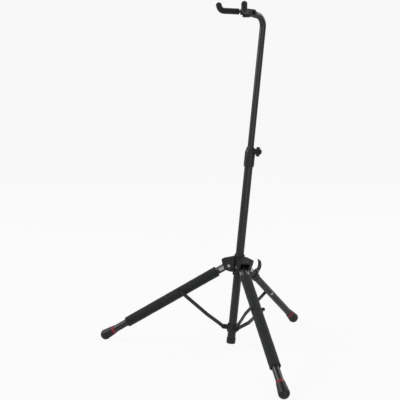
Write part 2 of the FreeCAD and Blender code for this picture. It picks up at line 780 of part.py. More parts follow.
def hub_arm(name):
    """One hooded arm: two cheeks and a roof over the leg's top end."""
    inner = "leg_radius + side_gap / 2 + strap_thick + 2 * side_gap"
    outline = [
        ("hub_radius - 4", "arm_root"),
        ("arm_reach", "arm_nose"),
        ("arm_reach - 4", "4"),
        ("arm_reach - 13", "-arm_under + 4"),
        ("hub_radius + 6", "-arm_under"),
        ("hub_radius - 4", "-arm_under"),
    ]
    hood = plate("hub_hood_" + name, outline, "2 * (%s + cheek_thick)" % inner)
    rounded_edges(hood, "hub_hood_soft_" + name, "2.5",
                  lambda e: e.BoundBox.XLength > 5 and e.BoundBox.YLength < 0.01 and e.BoundBox.ZLength < 0.01)
    slot = [
        ("hub_radius", "arm_root - web_thick - 6"),
        ("arm_reach + 2", "arm_nose - web_thick - 0.8"),
        ("arm_reach + 2", "-arm_under - 5"),
        ("hub_radius", "-arm_under - 5"),
    ]
    space = plate("hub_slot_" + name, slot, "2 * (%s)" % inner)
    arm = cut("hub_arm_" + name, hood, space)
    arm.Placement = placed(angle=LEGS[name])
    return arm


def hinge_half():
    """Half the grip of a leg hinge pin."""
    return "leg_radius + side_gap / 2 + strap_thick + 2 * side_gap + cheek_thick"


def hub():
    barrel = turned("hub_barrel", [
        ("0", "-hub_low"),
        ("hub_radius - 1.5", "-hub_low"),
        ("hub_radius", "-hub_low + 1.5"),
        ("hub_radius", "hub_high - 4"),
        ("hub_radius - 2", "hub_high"),
        ("0", "hub_high"),
    ])
    whole = join("hub_whole", [barrel] + [hub_arm(name) for name in LEGS])
    bore = cylinder("hub_bore", "hub_bush_radius + fixed_fit", "hub_low + hub_high + 2",
                    V(0, 0, -val("hub_low") - 1))
    tools = [bore]
    for name in LEGS:
        hole = cross_pin("hub_pin_hole_" + name, "pin_radius + fixed_fit", hinge_half() + " + 2",
                         V(0, val("pivot_radius"), 0))
        turn = group("hub_pin_hole_turned_" + name, [hole])
        turn.Placement = placed(angle=LEGS[name])
        tools.append(turn)
    piece("hub", cut("hub_cut", whole, join("hub_tools", tools)), MAST)


def hub_bush():
    """Slick liner that runs on the lower tube, with a lip at each end."""
    liner = ring("hub_bush", "hub_bush_radius", "lower_radius + running_fit", "hub_low + hub_high",
                 V(0, 0, -val("hub_low")))
    piece("hub_bush", liner, MAST)


def leg_pins():
    pins = []
    for name in LEGS:
        pin = rivet("leg_pin_" + name, hinge_half() + " + fixed_fit", V(0, val("pivot_radius"), 0),
                    "pin_radius", "pin_head_radius", "pin_head")
        pin.Placement = placed(angle=LEGS[name])
        pins.append(pin)
    piece("leg_hinge_pins", group("leg_hinge_pins_set", pins), MAST)


# ---------------------------------------------------------------- legs

def brace_joint(name):
    """Place of the brace's rivet in the leg's own frame."""
    turn = leg_angle(name) - val("link_angle")
    return V(0, val("link_length") * sind(turn), val("link_length") * cosd(turn))


def leg_tube(name):
    frame = leg_frame(MAST, name)
    axis = V(0, -val("pivot_drop"), val("leg_start"))
    end = foot_centre(MAST, name)
    tube = ring("leg_tube_" + name, "leg_radius", "leg_radius - leg_wall", "foam_end", axis)
    doc.recompute()
    for half in (tube.Base, tube.Tool):
        half.setExpression("Height", None)
        half.Height = end - val("foot_wall") - val("leg_start")
    rivet_hole = cross_pin("leg_rivet_hole_" + name, "rivet_radius + fixed_fit", "leg_radius + 2",
                           brace_joint(name))
    strap_hole = cross_pin("leg_strap_hole_" + name, "rivet_radius + fixed_fit", "leg_radius + 2",
                           V(0, -val("pivot_drop"), val("strap_rivet_at")))
    holes = join("leg_holes_" + name, [rivet_hole, strap_hole])
    piece("leg_tube_" + name, cut("leg_tube_cut_" + name, tube, holes), frame)


def leg_plug(name):
    """Moulded end of the leg: a round eye on the hinge pin and a spigot in the tube."""
    frame = leg_frame(MAST, name)
    eye = cross_pin("leg_eye_" + name, "plug_eye_radius", "leg_radius - fixed_fit")
    spigot = cylinder("leg_spigot_" + name, "leg_radius - leg_wall - fixed_fit", "strap_length",
                      V(0, -val("pivot_drop"), val("leg_start") - 2))
    collar = cylinder("leg_plug_collar_" + name, "leg_radius - fixed_fit", "leg_start + 3",
                      V(0, -val("pivot_drop"), -3))
    keep = cylinder("leg_plug_keep_" + name, "leg_radius", "4 * strap_length",
                    V(0, -val("pivot_drop"), -2 * val("strap_length")))
    top = doc.addObject("Part::MultiCommon", "leg_plug_top_" + name)
    top.Shapes = [join("leg_plug_head_" + name, [eye, collar]), keep]
    body = join("leg_plug_join_" + name, [eye_trim(name, top), spigot])
    holes = join("leg_plug_holes_" + name, [
        cross_pin("leg_plug_pin_" + name, "pin_radius + running_fit", "leg_radius + 2"),
        cross_pin("leg_plug_rivet_" + name, "rivet_radius + fixed_fit", "leg_radius + 2",
                  V(0, -val("pivot_drop"), val("strap_rivet_at")))])
    piece("leg_plug_" + name, cut("leg_plug_cut_" + name, body, holes), frame)


def eye_trim(name, top):
    """The moulding's head, cut off square where the tube starts."""
    tube_side = box("leg_plug_side_" + name, ("4 * leg_radius", "4 * leg_radius", "4 * leg_radius"),
                    V(-2 * val("leg_radius"), -2 * val("leg_radius"), val("leg_start") - val("fixed_fit")))
    return cut("leg_plug_trim_" + name, top, tube_side)


def leg_straps(name):
    """A steel strap on each side of the leg's top, from the hinge pin to a rivet through the tube."""
    frame = leg_frame(MAST, name)
    straps = []
    drop = val("pivot_drop")
    for sign in (1, -1):
        middle = sign * (val("leg_radius") + val("side_gap") / 2 + val("strap_thick") / 2)
        eye = cross_pin("strap_eye_%s_%d" % (name, sign + 1), "strap_width / 2 + 1", "strap_thick / 2",
                        V(middle, 0, 0))
        tail = cross_pin("strap_tail_%s_%d" % (name, sign + 1), "strap_width / 2", "strap_thick / 2",
                         V(middle, -drop, val("strap_length") - val("strap_width") / 2))
        run = box("strap_run_%s_%d" % (name, sign + 1),
                  ("strap_thick", "strap_width", "strap_length - strap_width / 2"),
                  V(middle - val("strap_thick") / 2, -drop - val("strap_width") / 2, 0))
        whole = join("strap_%s_%d" % (name, sign + 1), [eye, tail, run])
        holes = join("strap_holes_%s_%d" % (name, sign + 1), [
            cross_pin("strap_pin_%s_%d" % (name, sign + 1), "pin_radius + running_fit", "strap_thick",
                      V(middle, 0, 0)),
            cross_pin("strap_rivet_%s_%d" % (name, sign + 1), "rivet_radius + fixed_fit", "strap_thick",
                      V(middle, -drop, val("strap_rivet_at")))])
        straps.append(cut("strap_cut_%s_%d" % (name, sign + 1), whole, holes))
    piece("leg_straps_" + name, group("leg_straps_set_" + name, straps), frame)
    pin = rivet("strap_rivet_" + name, "leg_radius + side_gap / 2 + strap_thick + fixed_fit",
                V(0, -drop, val("strap_rivet_at")), proud="1")
    piece("strap_rivet_" + name, pin, frame)


def brace_rivet(name):
    """Rivet through the leg, with a spacer that holds the brace clear of the leg or its foam."""
    frame = leg_frame(MAST, name)
    at = brace_joint(name)
    reach = brace_side(name) + val("brace_thick") / 2 + val("side_gap")
    around = val("leg_radius") if name == "rear" else val("foam_radius")
    near = around + val("soft_gap")
    middle = V((near - reach) / 2, 0, 0)
    shank = cross_pin("brace_rivet_shank_" + name, "rivet_radius", "leg_radius", at)
    shank.setExpression("Height", None)
    shank.Height = near + reach
    shank.Placement = placed(at + middle - V(shank.Height.Value / 2, 0, 0), Y_AXIS, 90)
    inner_head = cylinder("brace_rivet_inner_" + name, "rivet_head_radius", "rivet_head",
                          at + V(near, 0, 0), Y_AXIS, 90)
    outer_head = cylinder("brace_rivet_outer_" + name, "rivet_head_radius", "rivet_head",
                          at - V(reach, 0, 0), Y_AXIS, -90)
    piece("brace_rivet_" + name, join("brace_rivet_join_" + name, [shank, inner_head, outer_head]), frame)
    start = math.sqrt(val("leg_radius") ** 2 - max(0, abs(at.y + val("pivot_drop")) - val("spacer_radius")) ** 2)
    stop = brace_side(name) - val("brace_thick") / 2 - val("fixed_fit")
    spacer = ring("brace_spacer_" + name, "spacer_radius", "rivet_radius + fixed_fit", "leg_radius",
                  at - V(start, 0, 0), Y_AXIS, -90)
    for part in (spacer.Base, spacer.Tool):
        part.setExpression("Height", None)
        part.Height = stop
        part.Placement = placed(at, Y_AXIS, -90)
    around_tube = cylinder("brace_spacer_tube_" + name, "leg_radius + fixed_fit", "4 * spacer_radius",
                           V(0, -val("pivot_drop"), at.z - 2 * val("spacer_radius")))
    piece("brace_spacer_" + name, cut("brace_spacer_cut_" + name, spacer, around_tube), frame)


def foam_sleeve(name):
    frame = leg_frame(MAST, name)
    sleeve = ring("foam_" + name, "foam_radius", "leg_radius + soft_gap", "foam_end - foam_start",
                  V(0, -val("pivot_drop"), val("foam_start")))
    at = brace_joint(name)
    hole = cylinder("foam_hole_" + name, "spacer_radius + soft_gap", "foam_radius + 5", at, Y_AXIS, -90)
    far_hole = cylinder("foam_far_hole_" + name, "rivet_radius + soft_gap", "foam_radius + 5", at, Y_AXIS, 90)
    piece("foam_sleeve_" + name, cut("foam_cut_" + name, sleeve, join("foam_holes_" + name, [hole, far_hole])),
          frame)


def foot(name):
    """Rubber boot with a rounded end, flattened where it stands on the floor."""
    frame = leg_frame(MAST, name)
    flare = cone("foot_flare_" + name, "foot_mouth_radius", "foot_radius - 0.1", "foot_length")
    ball = doc.addObject("Part::Sphere", "foot_ball_" + name)
    bind(ball, "Radius", "foot_radius")
    ball.Placement = placed(V(0, 0, val("foot_length")))
    bore = cylinder("foot_bore_" + name, "leg_radius + fixed_fit", "foot_length - foot_wall + fixed_fit")
    boot = cut("foot_boot_" + name, join("foot_solid_" + name, [flare, ball]), bore)
    at = V(0, -val("pivot_drop"), foot_centre(MAST, name) - val("foot_length"))
    boot.Placement = frame.multiply(placed(at))
    floor = doc.addObject("Part::Box", "floor_" + name)
    floor.Length = 2000
    floor.Width = 2000
    floor.Height = 100
    floor.Placement = placed(V(-1000, -1000, -100))
    piece("foot_" + name, cut("foot_cut_" + name, boot, floor))


def foot_ring(name):
    frame = leg_frame(MAST, name)
    at = V(0, -val("pivot_drop"), foot_centre(MAST, name) - val("foot_length") - val("ring_length"))
    band = turned("foot_ring_" + name, [
        ("leg_radius + fixed_fit", "0"),
        ("ring_start_radius", "0"),
        ("foot_mouth_radius", "ring_length - fixed_fit"),
        ("leg_radius + fixed_fit", "ring_length - fixed_fit"),
    ])
    band.Placement = placed(at)
    piece("foot_ring_" + name, band, frame)


# ---------------------------------------------------------------- braces

def brace(name):
    """Flat strut: straight beside the leg, joggled in to its tongue on the collar."""
    near = -brace_inset()
    far = -brace_side(name)
    half = val("brace_thick") / 2
    length = val("link_length")
    end = val("brace_width") / 2
    flat = length - val("brace_flat")
    joggle = flat - val("brace_joggle")
    middle = [(near, -end), (near, joggle), (far, flat), (far, length + end)]
    outline = [V(x + half, 0, z) for x, z in middle] + [V(x - half, 0, z) for x, z in reversed(middle)]
    strip = Part.Face(Part.makePolygon(outline + [outline[0]])).extrude(V(0, val("brace_width"), 0))
    strip.translate(V(0, -end, 0))
    side = Part.makeBox(200, val("brace_width"), length, V(-100, -end, 0))
    ends = [Part.makeCylinder(end, 200, V(-100, 0, z), X_AXIS) for z in (0, length)]
    shape = strip.common(side.fuse(ends[0]).fuse(ends[1]))
    for z in (0, length):
        shape = shape.cut(Part.makeCylinder(val("rivet_radius") + val("running_fit"), 200, V(-100, 0, z), X_AXIS))
    strut = doc.addObject("Part::Feature", "brace_shape_" + name)
    strut.Shape = shape.removeSplitter()
    piece("brace_" + name, strut, brace_frame(MAST, name))


# ---------------------------------------------------------------- rear leg latch

def latch_frame():
    """Lever pin on the rear leg: +Z down the leg, +Y towards the mast side."""
    rise = val("leg_radius") + val("lever_pin_rise") + val("pivot_drop")
    return leg_frame(MAST, "rear").multiply(placed(V(0, -rise, val("saddle_at"))))


def latch_saddle():
    """Clip round the leg with two ears that carry the lever's pin."""
    half = val("saddle_length") / 2
    wall = val("saddle_wall")
    axis = V(0, val("leg_radius") + val("lever_pin_rise"), 0)
    clip = cylinder("saddle_clip", "leg_radius + saddle_wall", "saddle_length", axis - V(0, 0, half))
    parts = [clip]
    for sign in (1, -1):
        middle = sign * (val("lever_thick") / 2 + val("side_gap") + wall / 2)
        eye = cross_pin("saddle_eye_%d" % (sign + 1), "lever_pin_radius + 3", "saddle_wall / 2", V(middle, 0, 0))
        rib = box("saddle_rib_%d" % (sign + 1), ("saddle_wall", "lever_pin_rise + 4", "2 * (lever_pin_radius + 3)"),
                  V(middle - wall / 2, 0, -val("lever_pin_radius") - 3))
        parts += [eye, rib]
    tools = [
        cylinder("saddle_bore", "leg_radius + fixed_fit", "saddle_length + 2", axis - V(0, 0, half + 1)),
        cross_pin("saddle_pin_hole", "lever_pin_radius + fixed_fit", "lever_thick + saddle_wall")]
    piece("latch_saddle", cut("latch_saddle_cut", join("saddle_join", parts), join("saddle_tools", tools)),
          latch_frame())


def latch_pin():
    pin = cross_pin("latch_pin_rod", "lever_pin_radius", "lever_thick / 2 + side_gap + saddle_wall")
    piece("latch_pin", pin, latch_frame())


def latch_lever():
    """Hooked thumb lever: a crescent that stands up from the pin, hollow towards the mast."""
    thick = val("lever_thick")
    outer = Part.Arc(V(0, 1, -5), V(0, 16, 11), V(0, -1, 35.5)).toShape()
    inner = Part.Arc(V(0, -1, 35.5), V(0, 6.5, 17), V(0, -4.5, 2)).toShape()
    heel = Part.Arc(V(0, -4.5, 2), V(0, -3.5, -3.5), V(0, 1, -5)).toShape()
    face = Part.Face(Part.Wire([outer, inner, heel]))
    solid = face.extrude(V(thick, 0, 0))
    solid.translate(V(-thick / 2, 0, 0))
    solid = solid.cut(Part.makeCylinder(val("lever_pin_radius") + val("running_fit"), 2 * thick,
                                        V(-thick, 0, 0), X_AXIS))
    lever = doc.addObject("Part::Feature", "latch_lever_shape")
    lever.Shape = solid
    upright = FreeCAD.Placement(latch_frame().Base, MAST.Rotation)
    piece("latch_lever", lever, upright)


# ---------------------------------------------------------------- build

def build_all():
    for make in (lower_tube, lower_end_cap, brace_collar, collar_screw, lower_brace_rivets, clutch_housing,
                 clutch_screw, clutch_bush, clutch_insert, clamp_shoe, height_knob, knob_stud,
                 upper_tube, upper_glide, neck_plug, yoke_bolt, yoke_block, yoke_rods, yoke_pads,
                 hub, hub_bush, leg_pins, latch_saddle, latch_pin, latch_lever):
        make()
    for name in LEGS:
        for make in (leg_tube, leg_plug, leg_straps, brace_rivet, foot, foot_ring, brace):
            make(name)
        if name != "rear":
            foam_sleeve(name)


def check_and_export():
    doc.removeObject(probe.Name)
    doc.recompute()
    for thing in doc.Objects:
        if "Invalid" in thing.State or "Error" in thing.State:
            raise RuntimeError("%s failed: %s" % (thing.Label, thing.State))
    for label, solid in pieces.items():
        if solid.Shape.isNull() or not solid.Shape.isValid() or not solid.Shape.Solids:
            raise RuntimeError("%s has no valid solid" % label)
    os.makedirs("parts", exist_ok=True)
    for label, solid in pieces.items():
        solid.Shape.exportStep("parts/%s.step" % label)
        print("%-22s solids %d  volume %9.1f" % (label, len(solid.Shape.Solids), solid.Shape.Volume))
    whole = FreeCAD.BoundBox()
    for solid in pieces.values():
        whole.add(solid.Shape.BoundBox)
    print("size %.1f x %.1f x %.1f, middle %.2f %.2f, low %.2f, %d pieces" % (
        whole.XLength, whole.YLength, whole.ZLength, whole.Center.x, whole.Center.y, whole.ZMin, len(pieces)))


build_all()
check_and_export()
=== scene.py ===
"""Looks for a hanging guitar stand: finishes, foam sleeves, padded yoke arms, rivet domes and a studio."""

import json
import math

import bmesh
import bpy
from bpy.props import FloatProperty, FloatVectorProperty, IntProperty, PointerProperty
from bpy.types import Operator, Panel, PropertyGroup
from mathutils import Matrix, Vector, noise


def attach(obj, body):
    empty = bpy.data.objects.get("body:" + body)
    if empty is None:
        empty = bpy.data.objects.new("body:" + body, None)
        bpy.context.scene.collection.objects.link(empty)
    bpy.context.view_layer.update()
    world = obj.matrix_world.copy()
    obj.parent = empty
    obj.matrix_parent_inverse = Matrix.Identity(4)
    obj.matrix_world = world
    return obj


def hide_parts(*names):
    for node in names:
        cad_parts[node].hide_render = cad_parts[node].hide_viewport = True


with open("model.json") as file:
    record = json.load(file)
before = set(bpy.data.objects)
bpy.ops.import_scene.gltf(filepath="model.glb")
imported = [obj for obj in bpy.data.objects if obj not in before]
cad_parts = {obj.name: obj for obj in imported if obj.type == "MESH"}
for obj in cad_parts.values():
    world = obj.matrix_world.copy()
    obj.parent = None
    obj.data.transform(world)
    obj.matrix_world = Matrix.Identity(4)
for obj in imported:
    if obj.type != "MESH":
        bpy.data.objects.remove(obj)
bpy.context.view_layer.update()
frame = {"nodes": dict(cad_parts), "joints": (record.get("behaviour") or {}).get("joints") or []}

bl_info = {
    "name": "Guitar Stand",
    "version": (1, 0, 0),
    "blender": (4, 5, 0),
    "location": "View3D > Sidebar > Guitar Stand",
    "description": "Finishes and soft parts for a folding hanging guitar stand",
    "category": "Object",
}

SIDES = ("rear", "left", "right")
FRONT_SIDES = ("left", "right")

# Places that the soft parts and the camera share with the metal, in metres.
HINGE_OFFSET = 0.027
ROOT_AHEAD, ROOT_RISE = 0.0228, 0.0001
PAD_START = 0.021
TIP_BEND, TIP_RISE = 0.015, 0.0054


# ---------------------------------------------------------------- settings

class StandSizes(PropertyGroup):
    """Sizes of the soft parts and trim."""
    foam_radius: FloatProperty(
        name="Foam radius", description="Outside radius of a leg's foam sleeve",
        default=0.016, subtype="DISTANCE", unit="LENGTH")
    foam_bore: FloatProperty(
        name="Foam bore", description="Inside radius of a leg's foam sleeve",
        default=0.0113, subtype="DISTANCE", unit="LENGTH")
    foam_softness: FloatProperty(
        name="Foam softness", description="How far the foam's skin wanders in and out",
        default=0.00035, subtype="DISTANCE", unit="LENGTH")
    pad_radius: FloatProperty(
        name="Pad radius", description="Outside radius of a yoke arm's pad",
        default=0.0087, subtype="DISTANCE", unit="LENGTH")
    pad_bore: FloatProperty(
        name="Pad bore", description="Inside radius of a yoke arm's pad",
        default=0.0042, subtype="DISTANCE", unit="LENGTH")
    arm_spread: FloatProperty(
        name="Arm spread", description="Angle of each yoke arm from straight ahead",
        default=math.radians(34.7), subtype="ANGLE", unit="ROTATION")
    arm_length: FloatProperty(
        name="Arm length", description="Root of the yoke to the start of an arm's upturn",
        default=0.066, subtype="DISTANCE", unit="LENGTH")
    arm_lean: FloatProperty(
        name="Arm lean", description="Outward lean of the upturned tips",
        default=math.radians(20), subtype="ANGLE", unit="ROTATION")
    yoke_droop: FloatProperty(
        name="Yoke droop", description="How far the yoke hangs forward from square with the mast",
        default=math.radians(6.3), subtype="ANGLE", unit="ROTATION")
    smoothness: IntProperty(
        name="Smoothness", description="Sides round each soft part",
        default=56, min=16, max=128)


class StandColours(PropertyGroup):
    """Colours of the finishes."""
    paint: FloatVectorProperty(
        name="Paint", description="Powder paint on the tubes",
        default=(0.0075, 0.0088, 0.0088), size=3, subtype="COLOR", min=0, max=1)
    nylon: FloatVectorProperty(
        name="Nylon", description="Moulded hub, clutch and yoke block",
        default=(0.0065, 0.0076, 0.0076), size=3, subtype="COLOR", min=0, max=1)
    foam: FloatVectorProperty(
        name="Foam", description="Foam sleeves and arm pads",
        default=(0.0075, 0.0092, 0.0090), size=3, subtype="COLOR", min=0, max=1)
    rubber: FloatVectorProperty(
        name="Rubber", description="Rubber feet",
        default=(0.0045, 0.0045, 0.0045), size=3, subtype="COLOR", min=0, max=1)
    ring: FloatVectorProperty(
        name="Ring", description="Coloured ring above each foot",
        default=(0.22, 0.014, 0.030), size=3, subtype="COLOR", min=0, max=1)


# ---------------------------------------------------------------- finishes

def new_finish(name):
    """A material with its shader, and the object's own coordinates for its patterns."""
    made = bpy.data.materials.new(name)
    made.use_nodes = True
    nodes = made.node_tree.nodes
    shader = nodes["Principled BSDF"]
    place = nodes.new("ShaderNodeTexCoord")
    place.location = (-1100, 0)
    return made, made.node_tree, shader, place.outputs["Object"]


def grain(tree, place, scale, detail=3.0, stretch=None):
    """Noise of a given fineness, in cycles per metre."""
    made = tree.nodes.new("ShaderNodeTexNoise")
    made.inputs["Scale"].default_value = scale
    made.inputs["Detail"].default_value = detail
    if stretch:
        mapping = tree.nodes.new("ShaderNodeMapping")
        mapping.inputs["Scale"].default_value = stretch
        tree.links.new(place, mapping.inputs["Vector"])
        place = mapping.outputs["Vector"]
    tree.links.new(place, made.inputs["Vector"])
    return made.outputs["Fac"]


def spread(tree, value, low, high):
    """A grey value spread between two numbers."""
    made = tree.nodes.new("ShaderNodeMapRange")
    made.inputs["From Min"].default_value = 0.3
    made.inputs["From Max"].default_value = 0.7
    made.inputs["To Min"].default_value = low
    made.inputs["To Max"].default_value = high
    tree.links.new(value, made.inputs["Value"])
    return made.outputs["Result"]


def tint(tree, value, dark, light):
    """A colour that runs from one tint to another with a grey value."""
    made = tree.nodes.new("ShaderNodeValToRGB")
    made.color_ramp.elements[0].position = 0.3
    made.color_ramp.elements[1].position = 0.7
    made.color_ramp.elements[0].color = (*dark, 1)
    made.color_ramp.elements[1].color = (*light, 1)
    tree.links.new(value, made.inputs["Fac"])
    return made.outputs["Color"]


def relief(tree, shader, value, strength, depth):
    """Bump from a grey value."""
    made = tree.nodes.new("ShaderNodeBump")
    made.inputs["Strength"].default_value = strength
    made.inputs["Distance"].default_value = depth
    tree.links.new(value, made.inputs["Height"])
    tree.links.new(made.outputs["Normal"], shader.inputs["Normal"])


def shade(colour, factor):
    return tuple(min(1.0, c * factor) for c in colour)


def powder_paint(colour):
    """Satin powder coat: orange-peel relief, faint cloudiness and a few rubbed patches."""
    made, tree, shader, place = new_finish("powder_paint")
    cloud = grain(tree, place, 28, 4)
    tree.links.new(tint(tree, cloud, shade(colour, 0.8), shade(colour, 1.25)), shader.inputs["Base Color"])
    rub = grain(tree, place, 60, 6, (1, 1, 0.35))
    tree.links.new(spread(tree, rub, 0.30, 0.44), shader.inputs["Roughness"])
    relief(tree, shader, grain(tree, place, 1400, 2), 0.16, 0.0002)
    shader.inputs["Coat Weight"].default_value = 0.25
    shader.inputs["Coat Roughness"].default_value = 0.22
    return made


def moulded_nylon(colour):
    """Glass-filled nylon: fine spark texture with flow marks in its sheen."""
    made, tree, shader, place = new_finish("moulded_nylon")
    flow = grain(tree, place, 45, 5)
    tree.links.new(tint(tree, flow, shade(colour, 0.8), shade(colour, 1.3)), shader.inputs["Base Color"])
    tree.links.new(spread(tree, grain(tree, place, 120, 4), 0.40, 0.55), shader.inputs["Roughness"])
    relief(tree, shader, grain(tree, place, 2200, 3), 0.35, 0.0002)
    return made


def foam_skin(name, colour, cell):
    """Closed-cell foam: pricked skin of small cells over slow swells in tone."""
    made, tree, shader, place = new_finish(name)
    cells = tree.nodes.new("ShaderNodeTexVoronoi")
    cells.inputs["Scale"].default_value = cell
    tree.links.new(place, cells.inputs["Vector"])
    swell = grain(tree, place, 70, 5)
    tree.links.new(tint(tree, swell, shade(colour, 0.75), shade(colour, 1.35)), shader.inputs["Base Color"])
    tree.links.new(spread(tree, grain(tree, place, 400, 3), 0.72, 0.9), shader.inputs["Roughness"])
    both = tree.nodes.new("ShaderNodeMath")
    both.operation = "ADD"
    tree.links.new(cells.outputs["Distance"], both.inputs[0])
    tree.links.new(grain(tree, place, 520, 4), both.inputs[1])
    relief(tree, shader, both.outputs["Value"], 0.55, 0.0005)
    shader.inputs["Sheen Weight"].default_value = 0.12
    shader.inputs["Sheen Roughness"].default_value = 0.5
    return made


def boot_rubber(colour):
    """Moulded rubber: smooth, slightly bloomed and dusty."""
    made, tree, shader, place = new_finish("boot_rubber")
    dust = grain(tree, place, 90, 6)
    tree.links.new(tint(tree, dust, shade(colour, 0.8), shade(colour, 1.7)), shader.inputs["Base Color"])
    tree.links.new(spread(tree, dust, 0.34, 0.5), shader.inputs["Roughness"])
    relief(tree, shader, grain(tree, place, 900, 2), 0.2, 0.0002)
    return made


def ring_plastic(colour):
    """Dyed plastic ring with a soft shine."""
    made, tree, shader, place = new_finish("ring_plastic")
    streak = grain(tree, place, 150, 4)
    tree.links.new(tint(tree, streak, shade(colour, 0.85), shade(colour, 1.12)), shader.inputs["Base Color"])
    tree.links.new(spread(tree, streak, 0.34, 0.46), shader.inputs["Roughness"])
    relief(tree, shader, grain(tree, place, 1500, 2), 0.15, 0.0002)
    return made


def plated_metal(name, dark, light, low, high):
    """Bright plated metal with drawn streaks and light tarnish."""
    made, tree, shader, place = new_finish(name)
    streak = grain(tree, place, 260, 4, (1, 1, 6))
    tree.links.new(tint(tree, streak, dark, light), shader.inputs["Base Color"])
    tree.links.new(spread(tree, grain(tree, place, 340, 4), low, high), shader.inputs["Roughness"])
    relief(tree, shader, streak, 0.12, 0.0002)
    shader.inputs["Metallic"].default_value = 1.0
    return made


def studio_paper():
    """White paper that keeps the soft shadow of what stands on it."""
    made = bpy.data.materials.new("studio_paper")
    made.use_nodes = True
    tree = made.node_tree
    tree.nodes.clear()
    out = tree.nodes.new("ShaderNodeOutputMaterial")
    paper = tree.nodes.new("ShaderNodeBsdfDiffuse")
    fibre = tree.nodes.new("ShaderNodeTexNoise")
    fibre.inputs["Scale"].default_value = 30
    shades = tint(tree, fibre.outputs["Fac"], (0.86, 0.86, 0.86), (0.90, 0.90, 0.90))
    tree.links.new(shades, paper.inputs["Color"])
    glow = tree.nodes.new("ShaderNodeEmission")
    glow.inputs["Color"].default_value = (1, 1, 1, 1)
    glow.inputs["Strength"].default_value = 1.0
    seen = tree.nodes.new("ShaderNodeLightPath")
    share = tree.nodes.new("ShaderNodeMath")
    share.operation = "MULTIPLY"
    share.inputs[1].default_value = 0.90
    tree.links.new(seen.outputs["Is Camera Ray"], share.inputs[0])
    mix = tree.nodes.new("ShaderNodeMixShader")
    tree.links.new(share.outputs["Value"], mix.inputs["Fac"])
    tree.links.new(paper.outputs["BSDF"], mix.inputs[1])
    tree.links.new(glow.outputs["Emission"], mix.inputs[2])
    tree.links.new(mix.outputs["Shader"], out.inputs["Surface"])
    return made


def dress(names, finish):
    """Put one finish on several CAD nodes."""
    for name in names:
        mesh = frame["nodes"][name].data
        mesh.materials.clear()
        mesh.materials.append(finish)


# ---------------------------------------------------------------- shapes

def joint(name):
    return [j for j in frame["joints"] if j["name"] == name][0]


def circle_centre(points, axis):
    """Centre of the circle through points that lie in a plane across an axis."""
    side = axis.orthogonal().normalized()
    other = axis.cross(side)
    middle = sum(points, Vector()) / len(points)
    rows = [((p - middle).dot(side), (p - middle).dot(other)) for p in points]
    suu = sum(u * u for u, v in rows)
    svv = sum(v * v for u, v in rows)
    suv = sum(u * v for u, v in rows)
    su = sum(u * (u * u + v * v) for u, v in rows) / 2
    sv = sum(v * (u * u + v * v) for u, v in rows) / 2
    span = suu * svv - suv * suv
    along = (su * svv - sv * suv) / span
    across = (sv * suu - su * suv) / span
    return middle + side * along + other * across


def tube_axis(name, towards):
    """Start and end of a straight tube's centre line, the start nearer to a given point."""
    points = [v.co.copy() for v in frame["nodes"][name].data.vertices]
    far = max(points, key=lambda p: (p - towards).length)
    near = min(points, key=lambda p: (p - towards).length)
    axis = (far - near).normalized()
    end_slice, rounds = 0.0006, 4
    for _ in range(rounds):
        reach = [p.dot(axis) for p in points]
        low, high = min(reach), max(reach)
        start = circle_centre([p for p, r in zip(points, reach) if r < low + end_slice], axis)
        end = circle_centre([p for p, r in zip(points, reach) if r > high - end_slice], axis)
        axis = (end - start).normalized()
    return start, end


def smooth_mesh(name, verts, faces):
    mesh = bpy.data.meshes.new(name)
    mesh.from_pydata([tuple(v) for v in verts], [], faces)
    mesh.validate()
    made = bpy.data.objects.new(name, mesh)
    bpy.context.scene.collection.objects.link(made)
    tidy = bmesh.new()
    tidy.from_mesh(mesh)
    bmesh.ops.recalc_face_normals(tidy, faces=tidy.faces)
    tidy.to_mesh(mesh)
    tidy.free()
    for face in mesh.polygons:
        face.use_smooth = True
    return made


def frames_along(path):
    """A steady pair of side directions at each point of a path."""
    tangents = []
    for i in range(len(path)):
        before = path[max(i - 1, 0)]
        after = path[min(i + 1, len(path) - 1)]
        tangents.append((after - before).normalized())
    side = tangents[0].orthogonal().normalized()
    sides = []
    for tangent in tangents:
        side = (side - tangent * side.dot(tangent)).normalized()
        sides.append((side.copy(), tangent.cross(side)))
    return sides


def sleeve(name, path, outer, inner, rim, sides, wander=0.0, cell=0.012, dents=()):
    """A soft tube along a path, with rolled rims, a skin that wanders, and dents where it is pinched."""
    verts, faces = [], []
    pairs = frames_along(path)
    last = len(path) - 1
    start_dir = (path[1] - path[0]).normalized()
    end_dir = (path[last] - path[last - 1]).normalized()
    turns = 5
    rings = [(path[0] + start_dir * rim * (1 - math.sin(math.pi / 2 * (turns - k) / turns)), pairs[0],
              outer - rim * (1 - math.cos(math.pi / 2 * (turns - k) / turns)), False) for k in range(turns + 1)]
    rings += [(path[i], pairs[i], outer, True) for i in range(1, last)]
    rings += [(path[last] - end_dir * rim * (1 - math.sin(math.pi / 2 * k / turns)), pairs[last],
               outer - rim * (1 - math.cos(math.pi / 2 * k / turns)), False) for k in range(turns + 1)]
    outline = [(path[0], pairs[0], inner, False)] + rings + [(path[last], pairs[last], inner, False)]
    bore_stride = 6
    for i in range(last - 1, 0, -bore_stride):
        outline.append((path[i], pairs[i], inner, False))
    for place, (u, v), radius, live in outline:
        for s in range(sides):
            turn = 2 * math.pi * s / sides
            out = u * math.cos(turn) + v * math.sin(turn)
            point = place + out * radius
            if live and wander:
                radius_here = radius + wander * (noise.noise(point / cell) - 0.6)
                for centre, width, depth in dents:
                    away = (point - centre).length
                    radius_here -= depth * math.exp(-(away / width) ** 2)
                point = place + out * radius_here
            verts.append(point)
    count = len(outline)
    for r in range(count):
        after = (r + 1) % count
        for s in range(sides):
            t = (s + 1) % sides
            faces.append((r * sides + s, r * sides + t, after * sides + t, after * sides + s))
    return smooth_mesh(name, verts, faces)


